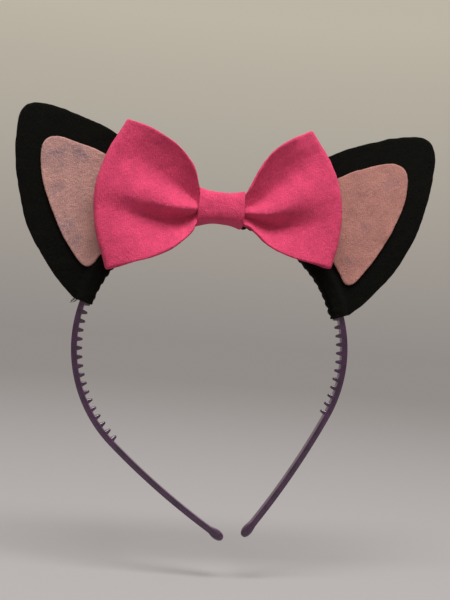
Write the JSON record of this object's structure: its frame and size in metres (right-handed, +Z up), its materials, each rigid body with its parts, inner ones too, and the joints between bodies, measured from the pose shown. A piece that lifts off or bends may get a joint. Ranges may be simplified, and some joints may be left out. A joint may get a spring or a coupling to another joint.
{
  "type": "animal ears headband",
  "caption": "Cat-ears headband: folded black felt ears with pink inner ears and a hot pink felt bow on a narrow toothed plastic band with springy arms.",
  "frame": {"origin": "centre of the band's circle, on its middle plane; a head or roll fits round this axis", "axes": "+Z up through the bow, +Y towards the back, +X to the right seen from the front"},
  "size_m": [0.193, 0.0203, 0.1904],
  "materials": {
    "band_plastic": "glossy, slightly pearly",
    "ear_felt": "matte felt",
    "inner_felt": "matte felt",
    "bow_felt": "matte felt",
    "glue": "clear hot glue"
  },
  "bodies": {
    "crown": {"band_crown": "band_plastic", "left_ear_felt": "ear_felt", "right_ear_felt": "ear_felt", "left_inner_ear": "inner_felt", "right_inner_ear": "inner_felt", "bow_loops": "bow_felt", "bow_center_wrap": "bow_felt", "left_ear_glue": "glue", "right_ear_glue": "glue", "left_inner_ear_glue": "glue", "right_inner_ear_glue": "glue", "bow_glue": "glue", "wrap_glue": "glue"},
    "left_arm": {"band_left_arm": "band_plastic"},
    "right_arm": {"band_right_arm": "band_plastic"}
  },
  "joints": [
    {"name": "left_arm_flex", "type": "hinge", "parent": "crown", "child": "left_arm", "pos_m": [-0.05932, 0, -0.01484], "axis": [0, 1, 0], "range_deg": [-2.5, 20], "stiffness_Nm_per_rad": 0.3},
    {"name": "right_arm_flex", "type": "hinge", "parent": "crown", "child": "right_arm", "pos_m": [0.06056, 0, 0.00846], "axis": [0, -1, 0], "range_deg": [-2.5, 20], "stiffness_Nm_per_rad": 0.3}
  ]
}
